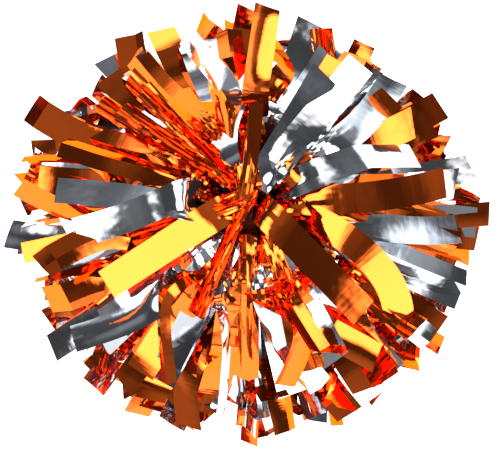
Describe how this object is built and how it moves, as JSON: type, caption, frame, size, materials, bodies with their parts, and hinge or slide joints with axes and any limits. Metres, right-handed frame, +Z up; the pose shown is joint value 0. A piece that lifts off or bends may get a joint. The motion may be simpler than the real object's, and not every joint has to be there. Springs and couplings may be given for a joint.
{
  "type": "cheer pom pom",
  "caption": "Round cheer pom pom of square-cut metallic film strands in orange and silver, gathered and tied in two heads on a hidden baton grip.",
  "frame": {"origin": "centre of the box's foot, on the surface that the pom pom rests on", "axes": "+Z up along the baton, from the lower head to the upper head; +X along the pom pom's longest width"},
  "size_m": [0.3118, 0.285, 0.2726],
  "materials": {
    "orange_film": "metallised mirror film, orange",
    "silver_film": "metallised mirror film, silver",
    "grip_plastic": "blow-moulded white plastic, satin",
    "plug_plastic": "injection-moulded white plastic, satin",
    "tie_nylon": "natural nylon, slightly translucent"
  },
  "bodies": {
    "baton": {"baton_tube": "grip_plastic", "upper_end_plug": "plug_plastic", "lower_end_plug": "plug_plastic"},
    "upper_head": {"upper_cable_tie": "tie_nylon", "upper_orange_sheet_1": "orange_film", "upper_silver_sheet_2": "silver_film", "upper_orange_sheet_3": "orange_film", "upper_orange_sheet_4": "orange_film", "upper_silver_sheet_5": "silver_film", "upper_orange_sheet_6": "orange_film", "upper_silver_sheet_7": "silver_film", "upper_orange_sheet_8": "orange_film"},
    "lower_head": {"lower_cable_tie": "tie_nylon", "lower_orange_sheet_1": "orange_film", "lower_silver_sheet_2": "silver_film", "lower_orange_sheet_3": "orange_film", "lower_orange_sheet_4": "orange_film", "lower_silver_sheet_5": "silver_film", "lower_orange_sheet_6": "orange_film", "lower_silver_sheet_7": "silver_film", "lower_orange_sheet_8": "orange_film"}
  },
  "joints": [
    {"name": "upper_head_swivel", "type": "hinge", "parent": "baton", "child": "upper_head", "pos_m": [0, 0, 0.188], "axis": [0, 0, 1], "continuous": true},
    {"name": "lower_head_swivel", "type": "hinge", "parent": "baton", "child": "lower_head", "pos_m": [0, 0, 0.072], "axis": [0, 0, 1], "continuous": true}
  ]
}
